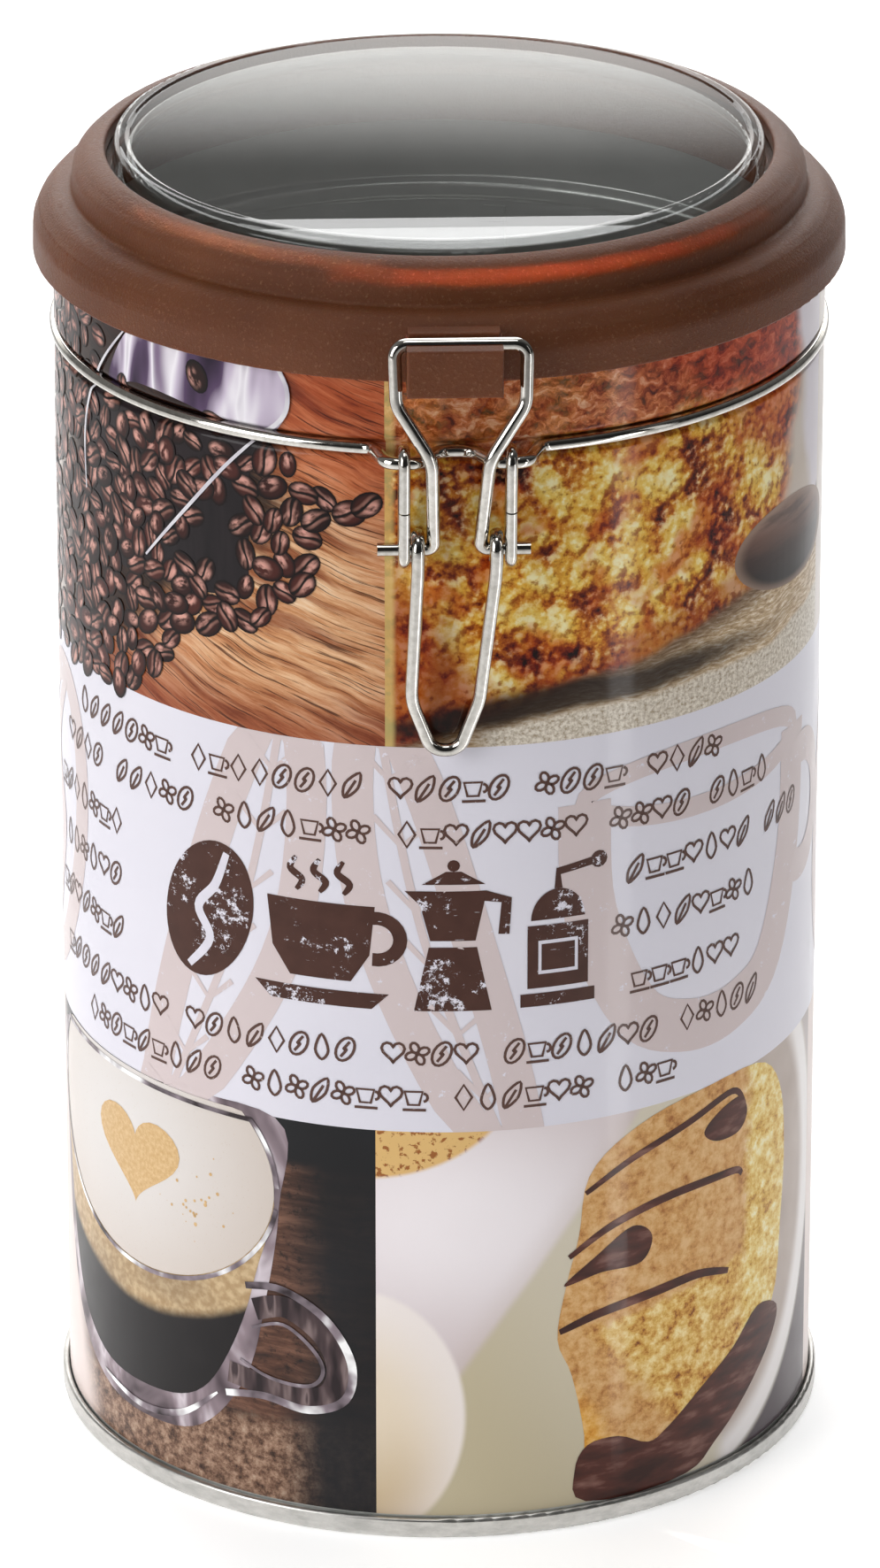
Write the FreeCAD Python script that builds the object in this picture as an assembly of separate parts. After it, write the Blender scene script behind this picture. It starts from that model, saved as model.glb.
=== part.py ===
"""Coffee tin with a clip-on lid: tinplate can, plastic lid with a clear window, wire clasp.

Millimetres. +Z is up, the origin is the centre of the base on the table, and the clasp faces -Y.
Each separate piece is written to its own STEP file in parts/.
"""
import FreeCAD, Part
import math
import os

# ---- driving dimensions -------------------------------------------------------------------------

# can
BODY_R = 55.0            # outside of the printed sheet
SHEET = 0.35             # thickness of the body sheet
SEAM_R = 56.1            # outside of the double seam at the base
SEAM_H = 3.0             # height of the double seam
END_SHEET = 0.3          # thickness of the end plate
PANEL_Z = 4.0            # height of the end plate's panel above the table
HOOK_R = 55.6            # middle of the body sheet's hook inside the double seam
LAP_WIDTH = 3.2          # width of the lapped side seam
LAP_THICK = 0.3          # how far the lap stands inwards
LAP_TOP = 164.6
LAP_TURN = 10.6          # the lap is this far round from the hinge, in degrees
GROOVE_Z = 167.3         # height of the collar wire
GROOVE_DEPTH = 1.4
GROOVE_FLOOR = 0.85      # half width of the groove's flat floor
GROOVE_MOUTH = 1.75      # half width where the groove meets the wall
RIM_TOP = 182.7          # top of the curled opening
RIM_IN = 52.6            # inside of the curled opening

# lid
SKIRT_R = 57.85          # outside of the skirt
SKIRT_Z = 178.25         # lower edge of the skirt
CROWN_IN = 47.4          # opening round the window
CROWN_Z = 193.15         # highest point of the crown
WINDOW_R = 46.2
WINDOW_Z = 194.6
WINDOW_T = 1.5
WINDOW_DIP = 0.35        # the window's middle lies this far below its rim
CATCH_OUT = 64.1         # front of the hook that the clasp holds
NOTCH = (59.0, 61.8)     # inner and outer wall of the notch for the bail
NOTCH_Z = 183.6          # floor of the notch

# wires
WIRE_R = 0.95            # collar, bail and pull handle
LINK_WIRE_R = 0.825
PIN_GAP = 0.06           # radial clearance of a wire in an eye
COLLAR_R = 54.75
BUMP_LEFT = (2.0, 4.7, 9.3, 12.6)    # places of the collar's two front bumps, from the middle out
BUMP_RIGHT = (2.6, 5.5, 10.1, 13.6)

# clasp, seen from the side: (outward distance from the can's axis, height)
LINK_TOP = (59.7, GROOVE_Z)
LINK_LOW = (58.1, 154.0)
BAIL_BAR = (60.3, 184.85)
BAIL_WAIST = (61.9, 168.3)
LINK_LEFT_X = -6.9       # the links hang a little off centre
LINK_RIGHT_X = 7.85
EYE_LEFT_X = -5.0        # the handle's eyes
EYE_RIGHT_X = 5.85
BAIL_LEFT_X = -2.8       # the bail's lower corners
BAIL_RIGHT_X = 3.6
PIN_END_X = 10.6         # half distance between the ends of the bail
HANDLE_TILT = 6.0        # the handle hangs this far inwards, in degrees

# hinge at the back
HINGE_Y = 61.0
HINGE_Z = 179.3
LUG_HALF = 7.0           # half width of the lug
KNUCKLE_R = 3.1
RISER_X = 9.0            # the collar's two ends rise here
RISER_FOOT_X = 13.2      # and leave the ring here
PIN_IN_X = 2.5           # how near the middle the ends reach inside the lug


# ---- helpers ------------------------------------------------------------------------------------

def vec(x, y, z=0.0):
    return FreeCAD.Vector(x, y, z)


def rounded_edges(points, radii, closed):
    """Lines and arcs through points, with a fillet radius at each corner (0 leaves it sharp)."""
    count = len(points)
    starts = []
    ends = []
    mids = []
    for i, corner in enumerate(points):
        radius = radii[i]
        is_end = not closed and i in (0, count - 1)
        if is_end or radius <= 0:
            starts.append(corner)
            ends.append(corner)
            mids.append(None)
            continue
        back = (points[i - 1] - corner).normalize()
        ahead = (points[(i + 1) % count] - corner).normalize()
        half = math.acos(max(-1.0, min(1.0, back.dot(ahead)))) / 2
        reach = radius / math.tan(half)
        bisector = (back + ahead).normalize()
        centre = corner + bisector * (radius / math.sin(half))
        starts.append(corner + back * reach)
        ends.append(corner + ahead * reach)
        mids.append(centre - bisector * radius)
    edges = []
    for i in range(count):
        if mids[i] is not None:
            edges.append(Part.Arc(starts[i], mids[i], ends[i]).toShape())
        if i == count - 1 and not closed:
            break
        following = starts[(i + 1) % count]
        if ends[i].distanceToPoint(following) > 1e-6:
            edges.append(Part.makeLine(ends[i], following))
    return edges


def corner_list(rows):
    """Rows of (r, z) or (r, z, fillet) become corner points in the XZ plane and their fillets."""
    points = [vec(row[0], 0, row[1]) for row in rows]
    radii = [row[2] if len(row) > 2 else 0.0 for row in rows]
    return points, radii


def turned(rows, angle=360.0, start=0.0):
    """Solid of revolution about Z from a closed outline of (r, z[, fillet]) rows."""
    points, radii = corner_list(rows)
    outline = Part.Wire(rounded_edges(points, radii, True))
    face = Part.Face(outline)
    if start:
        face.rotate(vec(0, 0, 0), vec(0, 0, 1), start)
    return face.revolve(vec(0, 0, 0), vec(0, 0, 1), angle)


def sheet_outline(rows, thickness):
    """Closed outline of a sheet whose middle line is an open path of (r, z[, fillet]) rows."""
    half = thickness / 2
    count = len(rows)
    sides = []
    for sign in (1, -1):
        side = []
        for i, row in enumerate(rows):
            here = vec(row[0], row[1])
            ahead = (vec(rows[i + 1][0], rows[i + 1][1]) - here).normalize() if i < count - 1 else None
            back = (here - vec(rows[i - 1][0], rows[i - 1][1])).normalize() if i > 0 else None
            first = back or ahead
            second = ahead or back
            normal_1 = vec(-first.y, first.x) * sign
            normal_2 = vec(-second.y, second.x) * sign
            mitre = normal_1 + normal_2
            point = here + mitre * (2 * half / mitre.dot(mitre))
            fillet = row[2] if len(row) > 2 else 0.0
            if fillet:
                turn = first.x * second.y - first.y * second.x
                fillet = fillet - half if turn * sign > 0 else fillet + half
            side.append((point.x, point.y, fillet))
        sides.append(side)
    return sides[0] + sides[1][::-1]


def wire_solid(edges, radius):
    """Round wire along a smooth chain of edges."""
    path = Part.Wire(edges)
    start = path.Edges[0].valueAt(path.Edges[0].FirstParameter)
    heading = path.Edges[0].tangentAt(path.Edges[0].FirstParameter)
    section = Part.Wire(Part.makeCircle(radius, start, heading))
    return path.makePipeShell([section], True, False)




def block(x_half, y_low, y_high, z_low, z_high):
    return Part.makeBox(2 * x_half, y_high - y_low, z_high - z_low, vec(-x_half, y_low, z_low))


def softened(shape, radius, wanted):
    edges = [edge for edge in shape.Edges if wanted(edge)]
    return shape.makeFillet(radius, edges)


# ---- can ----------------------------------------------------------------------------------------

def can_body():
    wall = BODY_R - SHEET / 2
    deep = wall - GROOVE_DEPTH
    rows = [
        (HOOK_R, 2.4),
        (HOOK_R, 0.55, 0.3),
        (wall, 0.55, 0.3),
        (wall, GROOVE_Z - GROOVE_MOUTH, 0.7),
        (deep, GROOVE_Z - GROOVE_FLOOR, 0.7),
        (deep, GROOVE_Z + GROOVE_FLOOR, 0.7),
        (wall, GROOVE_Z + GROOVE_MOUTH, 0.7),
        (wall, RIM_TOP - SHEET / 2, 0.85),
        (RIM_IN + SHEET / 2, RIM_TOP - SHEET / 2, 0.85),
        (RIM_IN + SHEET / 2, RIM_TOP - 1.9),
    ]
    shell = turned(sheet_outline(rows, SHEET))
    outer = BODY_R - 0.9 * SHEET
    inner = BODY_R - SHEET - LAP_THICK
    foot = PANEL_Z + 0.2
    lap = [(inner, foot), (outer, foot), (outer, LAP_TOP), (inner, LAP_TOP)]
    lap_angle = math.degrees(LAP_WIDTH / inner)
    seam = turned(lap, lap_angle, 90.0 - LAP_TURN - lap_angle / 2)
    return shell.fuse(seam).removeSplitter()


def can_bottom():
    half = END_SHEET / 2
    inner_hook = HOOK_R - 0.35
    rows = [
        (0.0, PANEL_Z),
        (46.5, PANEL_Z, 1.2),
        (47.6, 3.2, 1.2),
        (53.2, 3.2, 0.8),
        (54.4, half, 0.3),
        (SEAM_R - half, half, 0.4),
        (SEAM_R - half, SEAM_H - half, 0.3),
        (inner_hook, SEAM_H - half, 0.25),
        (inner_hook, 0.95),
    ]
    return turned(sheet_outline(rows, END_SHEET))


def seam_compound():
    inner = HOOK_R - 0.14
    outer = HOOK_R + 0.14
    return turned([(inner, 2.44), (outer, 2.44), (outer, 2.66), (inner, 2.66)])


def collar_half_points(bump):
    """Plan of one front bump, from the ring towards the middle: (x, outward)."""
    middle_x, inner_x, outer_x, ring_x = bump
    angle = math.asin(ring_x / COLLAR_R)
    ring = (ring_x, COLLAR_R * math.cos(angle))
    straight = 1.6
    lead = (ring_x - straight * math.cos(angle), ring[1] + straight * math.sin(angle))
    return [ring, lead, (outer_x, LINK_TOP[0]), (inner_x, LINK_TOP[0]), (middle_x, COLLAR_R + 0.2)]


def collar_wire():
    z = GROOVE_Z
    right = collar_half_points(BUMP_RIGHT)
    left = collar_half_points(BUMP_LEFT)
    plan = right + [(-x, out) for x, out in reversed(left)]
    points = [vec(x, -out, z) for x, out in plan]
    bends = [0.0, 2.4, 2.3, 2.3, 3.6]
    radii = bends + bends[::-1]
    front = rounded_edges(points, radii, False)

    back_x = RISER_FOOT_X
    back_y = math.sqrt(COLLAR_R ** 2 - back_x ** 2)
    arcs = []
    tails = []
    for side, half in ((1, right), (-1, left)):
        ring_front = vec(side * half[0][0], -half[0][1], z)
        ring_side = vec(side * COLLAR_R, 0, z)
        ring_back = vec(side * back_x, back_y, z)
        arcs.append(Part.Arc(ring_back, ring_side, ring_front).toShape())
        lead = (back_x - RISER_X) * back_x / back_y
        corners = [
            ring_back,
            vec(side * RISER_X, back_y + lead, z),
            vec(side * RISER_X, HINGE_Y, z),
            vec(side * RISER_X, HINGE_Y, HINGE_Z),
            vec(side * PIN_IN_X, HINGE_Y, HINGE_Z),
        ]
        tails.append(rounded_edges(corners, [0, 2.2, 2.2, 1.6, 0], False))
    right_end = [edge.reversed() for edge in reversed(tails[0])]
    edges = right_end + [arcs[0]] + front + [arcs[1].reversed()] + tails[1]
    return wire_solid(Part.__sortEdges__(edges), WIRE_R)


# ---- lid ----------------------------------------------------------------------------------------

def lid_ring():
    rows = [
        (SKIRT_R, SKIRT_Z, 0.3),
        (57.75, 182.6, 3.0),
        (56.9, 184.5, 1.6),
        (54.9, 186.75, 3.0),
        (52.35, 187.25, 0.6),
        (52.05, 190.6, 2.2),
        (49.6, 192.9, 4.0),
        (CROWN_IN, CROWN_Z + 0.1, 0.5),
        (CROWN_IN, 190.9, 0.2),
        (50.4, 190.9, 0.2),
        (50.4, 187.0, 0.3),
        (49.9, 186.6, 0.1),
        (49.9, 179.2, 0.5),
        (51.5, 179.2, 0.5),
        (51.5, 184.9, 0.2),
        (55.6, 184.9, 0.4),
        (56.25, 183.6, 0.8),
        (56.25, SKIRT_Z, 0.3),
    ]
    ring = turned(rows)
    catch = lid_catch()
    lug = hinge_lug()
    return ring.fuse([catch, lug]).removeSplitter()


def lid_catch():
    """Hook at the front: an upper block, a notch for the bail, and a lip in front of it."""
    back, front = NOTCH
    upper = block(6.3, -back, -56.4, 182.0, 186.0)
    upper = softened(upper, 0.3, lambda edge: edge.CenterOfMass.y < 0.1 - back)
    lower = block(6.6, -CATCH_OUT, -57.0, SKIRT_Z + 0.05, 185.15)
    lower = softened(lower, 0.35, lambda edge: edge.CenterOfMass.y < 0.1 - CATCH_OUT)
    notch = block(8.0, -front, -back, NOTCH_Z, 188.0)
    return upper.fuse(lower).cut(notch).removeSplitter()


def hinge_lug():
    """Knuckle at the back, with a bore for the bent ends of the collar wire."""
    arm = block(LUG_HALF, 56.6, HINGE_Y, 179.0, HINGE_Z + KNUCKLE_R)
    knuckle = Part.makeCylinder(KNUCKLE_R, 2 * LUG_HALF, vec(-LUG_HALF, HINGE_Y, HINGE_Z), vec(1, 0, 0))
    start = vec(-2 * LUG_HALF, HINGE_Y, HINGE_Z)
    bore = Part.makeCylinder(WIRE_R + PIN_GAP, 4 * LUG_HALF, start, vec(1, 0, 0))
    return arm.fuse(knuckle).cut(bore).removeSplitter()


def lid_window():
    top = WINDOW_Z
    middle = top - WINDOW_DIP
    rows = [
        (0.0, middle),
        (44.0, middle, 0.4),
        (44.5, top, 0.4),
        (WINDOW_R, top, 0.9),
        (WINDOW_R, 190.8, 0.3),
        (49.9, 190.8, 0.2),
        (49.9, 189.4, 0.2),
        (44.8, 189.4, 0.3),
        (44.6, middle - WINDOW_T, 1.0),
        (0.0, middle - WINDOW_T),
    ]
    return turned(rows)


def window_retainer():
    rows = [(46.6, 187.3, 0.3), (50.3, 187.3, 0.3), (50.3, 189.3, 0.2), (46.6, 189.3, 0.2)]
    return turned(rows)


def lid_gasket():
    rows = [(51.65, 182.95, 0.4), (55.4, 182.95, 0.4), (55.4, 184.8, 0.3), (51.65, 184.8, 0.3)]
    return turned(rows)


# ---- clasp --------------------------------------------------------------------------------------

def link(x):
    """Closed wire loop round the collar's bump above and the bail's end below."""
    turn = WIRE_R + PIN_GAP + LINK_WIRE_R
    top = vec(x, -LINK_TOP[0], LINK_TOP[1])
    low = vec(x, -LINK_LOW[0], LINK_LOW[1])
    along = (low - top).normalize()
    front = vec(0, -along.z, along.y)
    if front.y > 0:
        front = front * -1
    gap = 0.12
    middle = (top + low) * 0.5 + front * turn
    edges = [
        Part.makeLine(middle - along * gap, top + front * turn),
        Part.Arc(top + front * turn, top - along * turn, top - front * turn).toShape(),
        Part.makeLine(top - front * turn, low - front * turn),
        Part.Arc(low - front * turn, low + along * turn, low + front * turn).toShape(),
        Part.makeLine(low + front * turn, middle + along * gap),
    ]
    return wire_solid(edges, LINK_WIRE_R)


def bail():
    """Wire frame: the bar that hooks the lid, drawn in at the waist, ends bent outwards as pins."""
    low_y = -LINK_LOW[0]
    points = [
        vec(-PIN_END_X, low_y, LINK_LOW[1]),
        vec(BAIL_LEFT_X, low_y, LINK_LOW[1]),
        vec(-3.1, -BAIL_WAIST[0], BAIL_WAIST[1]),
        vec(-8.0, -61.1, 176.3),
        vec(-8.3, -BAIL_BAR[0], BAIL_BAR[1]),
        vec(10.0, -BAIL_BAR[0], BAIL_BAR[1]),
        vec(9.8, -61.1, 176.3),
        vec(4.8, -BAIL_WAIST[0], BAIL_WAIST[1]),
        vec(BAIL_RIGHT_X, low_y, LINK_LOW[1]),
        vec(PIN_END_X, low_y, LINK_LOW[1]),
    ]
    radii = [0, 1.1, 6.0, 4.5, 1.8, 1.8, 4.5, 6.0, 1.1, 0]
    return wire_solid(rounded_edges(points, radii, False), WIRE_R)


def handle_eye(x):
    """Open eye of the pull handle round the bail's end, ending at the top of its leg."""
    turn = 2 * WIRE_R + PIN_GAP
    centre = vec(x, -LINK_LOW[0], LINK_LOW[1])
    spots = []
    for degrees in (258.0, 129.0, 0.0):
        angle = math.radians(degrees)
        spots.append(centre + vec(0, -math.cos(angle) * turn, math.sin(angle) * turn))
    return Part.Arc(spots[0], spots[1], spots[2]).toShape(), spots[2]


def pull_handle():
    left_eye, left_top = handle_eye(EYE_LEFT_X)
    right_eye, right_top = handle_eye(EYE_RIGHT_X)
    y = left_top.y
    z = LINK_LOW[1]
    points = [
        left_top,
        vec(EYE_LEFT_X, y, z - 2.5),
        vec(-5.9, y, z - 22.6),
        vec(-3.0, y, z - 30.5),
        vec(0.8, y, z - 30.5),
        vec(3.6, y, z - 22.6),
        vec(EYE_RIGHT_X, y, z - 2.5),
        right_top,
    ]
    legs = rounded_edges(points, [0, 40.0, 9.0, 2.5, 2.5, 9.0, 40.0, 0], False)
    handle = wire_solid([left_eye] + legs + [right_eye.reversed()], WIRE_R)
    handle.rotate(vec(0, -LINK_LOW[0], LINK_LOW[1]), vec(1, 0, 0), HANDLE_TILT)
    return handle


# ---- write the pieces ---------------------------------------------------------------------------

def main():
    os.makedirs("parts", exist_ok=True)
    pieces = {
        "can_body": can_body(),
        "can_bottom": can_bottom(),
        "seam_compound": seam_compound(),
        "collar_wire": collar_wire(),
        "lid_ring": lid_ring(),
        "lid_window": lid_window(),
        "window_retainer": window_retainer(),
        "lid_gasket": lid_gasket(),
        "link_left": link(LINK_LEFT_X),
        "link_right": link(LINK_RIGHT_X),
        "bail": bail(),
        "pull_handle": pull_handle(),
    }
    for name, shape in pieces.items():
        shape.exportStep("parts/" + name + ".step")
        box = shape.BoundBox
        print(name, shape.isValid(), len(shape.Solids), round(shape.Volume, 1),
              [round(v, 2) for v in (box.XMin, box.XMax, box.YMin, box.YMax, box.ZMin, box.ZMax)])


main()
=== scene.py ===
"""Looks of the coffee tin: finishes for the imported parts, and the printed picture on the can's wall.

The print is drawn flat, in millimetres: u runs round the wall from the clasp, v is the height above
the table. It is wrapped round the can in thin layers, twice, as the real sheet repeats its design.
"""
import math
import random

import bmesh
import bpy
from mathutils import Matrix, Vector
from mathutils.bvhtree import BVHTree


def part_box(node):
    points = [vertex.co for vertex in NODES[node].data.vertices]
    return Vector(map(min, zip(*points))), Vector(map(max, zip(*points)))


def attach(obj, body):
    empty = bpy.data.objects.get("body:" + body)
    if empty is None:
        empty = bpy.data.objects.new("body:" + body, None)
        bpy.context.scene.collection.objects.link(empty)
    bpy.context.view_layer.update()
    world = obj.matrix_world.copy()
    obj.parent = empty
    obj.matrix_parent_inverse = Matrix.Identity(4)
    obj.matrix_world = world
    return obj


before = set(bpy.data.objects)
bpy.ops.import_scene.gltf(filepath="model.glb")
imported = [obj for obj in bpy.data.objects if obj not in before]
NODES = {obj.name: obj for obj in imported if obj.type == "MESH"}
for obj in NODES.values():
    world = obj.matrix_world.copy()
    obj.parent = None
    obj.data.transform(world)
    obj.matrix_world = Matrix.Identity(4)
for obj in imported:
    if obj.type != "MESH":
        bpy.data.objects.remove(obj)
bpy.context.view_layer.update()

MM = 0.001
LAYER = 0.03             # mm between two layers of the print
FACE_LEFT = -99.8        # the design runs from here to here, and then repeats
FACE_RIGHT = 73.0
PICTURE_EDGE_TOP = -9.5  # the upright edge between the two upper pictures
PICTURE_EDGE_LOW = -11.0
BAND_LOW = 64.0
BAND_TOP = 123.0
SEAM_U = -10.2           # the bare side seam, on the back face
SEAM_HALF = 1.0
PRINT_LOW = 3.25
PRINT_MARGIN = 1.2       # bare sheet above the print
COLUMN = 2.0             # the print is cut upright at this pitch, so that it bends with the wall
PLAIN_WALL = (40, 400)   # quarter millimetres of height between which the wall is plain
RAYS = 24                # rays side by side, over a few facets of the can
RAY_TURN = 0.35          # degrees from one ray to the next
RAY_START = 0.08         # m from the can's axis, outside the wall
RAY_SHIFTS = (-0.12, 0, 0.12)    # mm up and down, so that no bend between two heights is missed
FACES = {"front": 0.0, "back": math.pi}

rng = random.Random(4)


# ---- the can's wall ----

def wall_profile():
    """Radius of the wall in mm at every quarter millimetre of height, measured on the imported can.

    The can is faceted, so the largest radius over a few degrees is the true one.
    """
    can = NODES["can_body"].data
    tree = BVHTree.FromPolygons([v.co for v in can.vertices], [p.vertices for p in can.polygons])
    top = int(4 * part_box("can_body")[1].z / MM)
    turns = [math.radians(RAY_TURN * k) for k in range(RAYS)]
    outwards = [Vector((math.sin(a), -math.cos(a), 0)) for a in turns]
    radii = []
    for step in range(top + 1):
        height = Vector((0, 0, max(step / 4, PRINT_LOW) * MM))
        near = [max(height.z + shift * MM, PRINT_LOW * MM) for shift in RAY_SHIFTS]
        hits = [tree.ray_cast(Vector((0, 0, z)) + RAY_START * out,
                              -out)[0] for z in near for out in outwards]
        radii.append(max(hit.xy.length / MM for hit in hits if hit))
    return radii


PROFILE = wall_profile()
WALL_R = max(PROFILE[slice(*PLAIN_WALL)])
PRINT_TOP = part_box("can_body")[1].z / MM - PRINT_MARGIN
BENDS = [i for i in range(PLAIN_WALL[0], int(4 * PRINT_TOP)) if abs(PROFILE[i + 1] - PROFILE[i]) > 0.005]
GROOVE = sorted({k / 4 for i in BENDS for k in (i, i + 1)})


def wall_radius(v):
    place = min(max(v * 4, 0), len(PROFILE) - 1.001)
    low = int(place)
    share = place - low
    return PROFILE[low] * (1 - share) + PROFILE[low + 1] * share


def wrap(u, v, lift, turn):
    angle = turn + u / WALL_R
    radius = (wall_radius(v) + lift) * MM
    return Vector((radius * math.sin(angle), -radius * math.cos(angle), v * MM))


# ---- materials ----

def linear(code):
    """Linear colour from a hex code."""
    parts = [int(code[i:i + 2], 16) / 255 for i in (0, 2, 4)]
    return tuple(c / 12.92 if c <= 0.04045 else ((c + 0.055) / 1.055) ** 2.4 for c in parts) + (1.0,)


class Nodes:
    """One node tree. Each method adds nodes and returns an output, so a picture reads as layers."""

    def __init__(self, tree):
        self.tree = tree

    def put(self, target, value):
        if isinstance(value, bpy.types.NodeSocket):
            self.tree.links.new(value, target)
        elif value is not None:
            target.default_value = value

    def add(self, kind, values=(), out=0, **settings):
        node = self.tree.nodes.new("ShaderNode" + kind)
        for key, value in settings.items():
            setattr(node, key, value)
        for key, value in dict(values).items():
            self.put(node.inputs[key], value)
        return node.outputs[out]

    def math(self, operation, a, b=None, c=None):
        return self.add("Math", {0: a, 1: b, 2: c}, operation=operation)

    def vector(self, operation, a, b=None, out=0):
        return self.add("VectorMath", {0: a, 1: b}, out, operation=operation)

    def mix(self, factor, a, b, blend="MIX"):
        a = linear(a) if isinstance(a, str) else a
        b = linear(b) if isinstance(b, str) else b
        return self.add("Mix", {0: factor, 6: a, 7: b}, 2, data_type="RGBA", blend_type=blend)

    def ramp(self, factor, *stops):
        node = self.tree.nodes.new("ShaderNodeValToRGB")
        self.put(node.inputs[0], factor)
        elements = node.color_ramp.elements
        for i, (place, colour) in enumerate(stops):
            element = elements[i] if i < 2 else elements.new(place)
            element.position = place
            element.color = linear(colour)
        return node.outputs[0]

    def span(self, value, low, high, to_low=0.0, to_high=1.0):
        """value from low to high becomes to_low to to_high, held beyond both."""
        values = {0: value, 1: low, 2: high, 3: to_low, 4: to_high}
        return self.add("MapRange", values, interpolation_type="SMOOTHSTEP")

    def noise(self, at, scale, detail=3.0, rough=0.5, distortion=0.0, out=0):
        values = {"Vector": at, "Scale": scale, "Detail": detail, "Roughness": rough}
        return self.add("TexNoise", {**values, "Distortion": distortion}, out)

    def streaks(self, at, degrees, stretch, detail=3.0, rough=0.5, distortion=0.0):
        """Noise drawn out along one direction."""
        return self.noise(self.turned(at, degrees, stretch), 1.0, detail, rough, distortion)

    def cells(self, at, scale, feature="F1"):
        return self.add("TexVoronoi", {"Vector": at, "Scale": scale}, feature=feature)

    def flat(self):
        """Place on the flat print, in mm."""
        return self.add("Attribute", attribute_name="flat", out=1)

    def local(self):
        """Place within one stamped shape, from -1 to 1, and the shape's own random number."""
        return self.add("Attribute", attribute_name="local", out=1)

    def split(self, vector):
        node = self.tree.nodes.new("ShaderNodeSeparateXYZ")
        self.put(node.inputs[0], vector)
        return node.outputs

    def turned(self, at, degrees=0.0, stretch=(1, 1, 1), shift=(0, 0, 0)):
        turn = (0, 0, math.radians(degrees))
        return self.add("Mapping", {"Vector": at, "Rotation": turn, "Scale": stretch, "Location": shift})

    def shaken(self, at, scale, amount):
        """Coordinates pushed about by noise, for edges that aren't drawn with a ruler."""
        push = self.vector("SUBTRACT", self.noise(at, scale, 3, out=1), (0.5, 0.5, 0.5))
        return self.vector("ADD", at, self.vector("MULTIPLY", push, (amount, amount, 0)))

    def oval(self, at, centre, radii, soft=0.1, degrees=0.0):
        """1 inside an oval and 0 outside."""
        moved = self.vector("SUBTRACT", at, (centre[0], centre[1], 0))
        shaped = self.turned(moved, -degrees)
        shaped = self.vector("DIVIDE", shaped, (radii[0], radii[1], 1000))
        away = self.vector("LENGTH", shaped, out=1)
        return self.span(away, 1 + soft, 1 - soft)

    def beyond(self, at, point, degrees, soft):
        """1 on the side of a line towards degrees and 0 on the other side; the line passes point."""
        toward = (math.cos(math.radians(degrees)), math.sin(math.radians(degrees)), 0)
        along = self.vector("DOT_PRODUCT", at, toward, out=1)
        offset = point[0] * toward[0] + point[1] * toward[1]
        return self.span(along, offset - soft, offset + soft)

    def times(self, a, b):
        """Product; of two areas, the place where both are."""
        return self.math("MULTIPLY", a, b)

    def without(self, a, b):
        return self.times(a, self.math("SUBTRACT", 1.0, b))

    def cover(self, colour, area, amount, ink, blend="MIX"):
        """Ink laid over the colour in one area, by some amount."""
        return self.mix(self.times(area, amount), colour, ink, blend)

    def shade(self, colour, area, amount, ink):
        return self.cover(colour, area, amount, ink, "MULTIPLY")

    def from_middle(self, local):
        """Distance from the middle of one stamped shape; 1 is its edge."""
        return self.vector("LENGTH", self.vector("MULTIPLY", local, (1, 1, 0)), out=1)

    def bump(self, height, strength, distance):
        return self.add("Bump", {"Strength": strength, "Distance": distance, "Height": height})


class Paint(Nodes):
    """One node material with a Principled shader."""

    def __init__(self, name, **finish):
        self.material = bpy.data.materials.new(name)
        self.material.use_nodes = True
        super().__init__(self.material.node_tree)
        self.shader = self.tree.nodes["Principled BSDF"]
        for key, value in finish.items():
            self.shader.inputs[key.replace("_", " ")].default_value = value

    def finish(self, colour, roughness, normal=None):
        for key, value in {"Base Color": colour, "Roughness": roughness, "Normal": normal}.items():
            self.put(self.shader.inputs[key], value)
        return self.material


def printed(name):
    """Ink under clear lacquer on tinplate, and the place on the flat print."""
    paint = Paint(name, Specular_IOR_Level=0.1, Coat_Weight=0.3, Coat_Roughness=0.04, Coat_IOR=1.45)
    paint.at = paint.flat()
    return paint, paint.at


def lacquered(paint, colour):
    """Every print ends alike: a slightly uneven gloss, as roller-coated lacquer has."""
    uneven = paint.noise(paint.at, 0.12, 2)
    roughness = paint.span(uneven, 0.3, 0.7, 0.3, 0.38)
    return paint.finish(colour, roughness)


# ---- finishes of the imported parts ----

def object_place(paint):
    """Place on the object, in mm."""
    place = paint.add("TexCoord", out=3)
    return paint.vector("MULTIPLY", place, (1000, 1000, 1000))


def tinplate():
    """Rolled sheet under thin lacquer: fine lines along the rolling direction and a soft mottling."""
    paint = Paint("bare tinplate", Metallic=0.85, Anisotropic=0.4, Coat_Weight=0.5, Coat_Roughness=0.08)
    place = object_place(paint)
    lines = paint.streaks(place, 0, (0.15, 0.15, 6.0), 4, 0.6)
    mottle = paint.noise(place, 0.08, 2)
    colour = paint.ramp(mottle, (0.3, "c3c5c3"), (0.7, "dbdcda"))
    roughness = paint.span(lines, 0.3, 0.7, 0.36, 0.46)
    return paint.finish(colour, roughness, paint.bump(lines, 0.15, 0.00004))


def seam_tinplate():
    """The folded base seam is duller than the sheet, from the seaming rolls."""
    paint = Paint("seamed tinplate", Metallic=1.0)
    place = object_place(paint)
    lines = paint.streaks(place, 0, (0.05, 0.05, 5.0), 4, 0.6)
    scuffs = paint.streaks(place, 0, (0.3, 0.3, 0.8), 5, 0.7)
    colour = paint.ramp(scuffs, (0.3, "b3b2ae"), (0.65, "d2d0cc"))
    roughness = paint.span(lines, 0.3, 0.7, 0.3, 0.45)
    return paint.finish(colour, roughness, paint.bump(lines, 0.3, 0.00006))


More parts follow.
